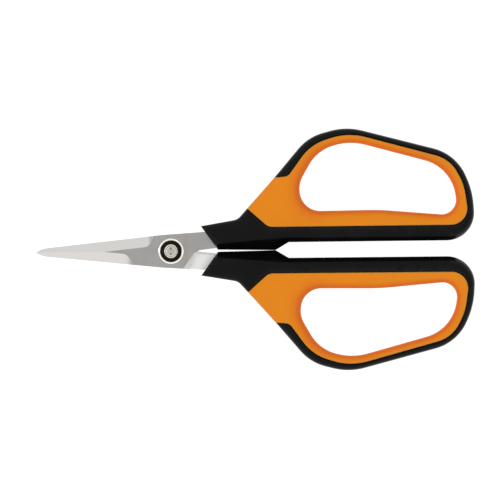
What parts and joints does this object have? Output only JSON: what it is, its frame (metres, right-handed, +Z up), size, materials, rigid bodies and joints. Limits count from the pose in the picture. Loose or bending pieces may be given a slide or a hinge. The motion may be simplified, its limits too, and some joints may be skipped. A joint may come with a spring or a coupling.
{
  "type": "floral snips",
  "caption": "Hand snips with slim pointed steel blades crossing at a pivot screw and closed loop handles with a soft lining, for cutting flowers and thin stems.",
  "frame": {"origin": "centre of the closed snips' bounding box, at the height of the surface that the handles lie on", "axes": "+X from the blades' points towards the finger loops, +Y towards the front half's handle, +Z up along the pivot screw, out of its head"},
  "size_m": [0.1596, 0.0878, 0.01],
  "materials": {
    "blade_steel": "ground and brushed stainless steel",
    "pivot_steel": "turned, polished steel",
    "handle_plastic": "black, satin with a fine moulded texture",
    "soft_lining": "orange soft-touch elastomer, matte",
    "bush_plastic": "black, smooth"
  },
  "bodies": {
    "back_half": {"back_blade": "blade_steel", "back_handle": "handle_plastic", "back_grip": "soft_lining", "pivot_screw": "pivot_steel", "pivot_nut": "pivot_steel", "pivot_bush": "bush_plastic", "cap_washer": "pivot_steel", "friction_washer": "bush_plastic", "back_washer": "pivot_steel"},
    "front_half": {"front_blade": "blade_steel", "front_handle": "handle_plastic", "front_grip": "soft_lining"}
  },
  "joints": [
    {"name": "blade_pivot", "type": "hinge", "parent": "back_half", "child": "front_half", "pos_m": [-0.03056, 0, 0.005], "axis": [0, 0, 1], "range_deg": [0, 60]}
  ]
}
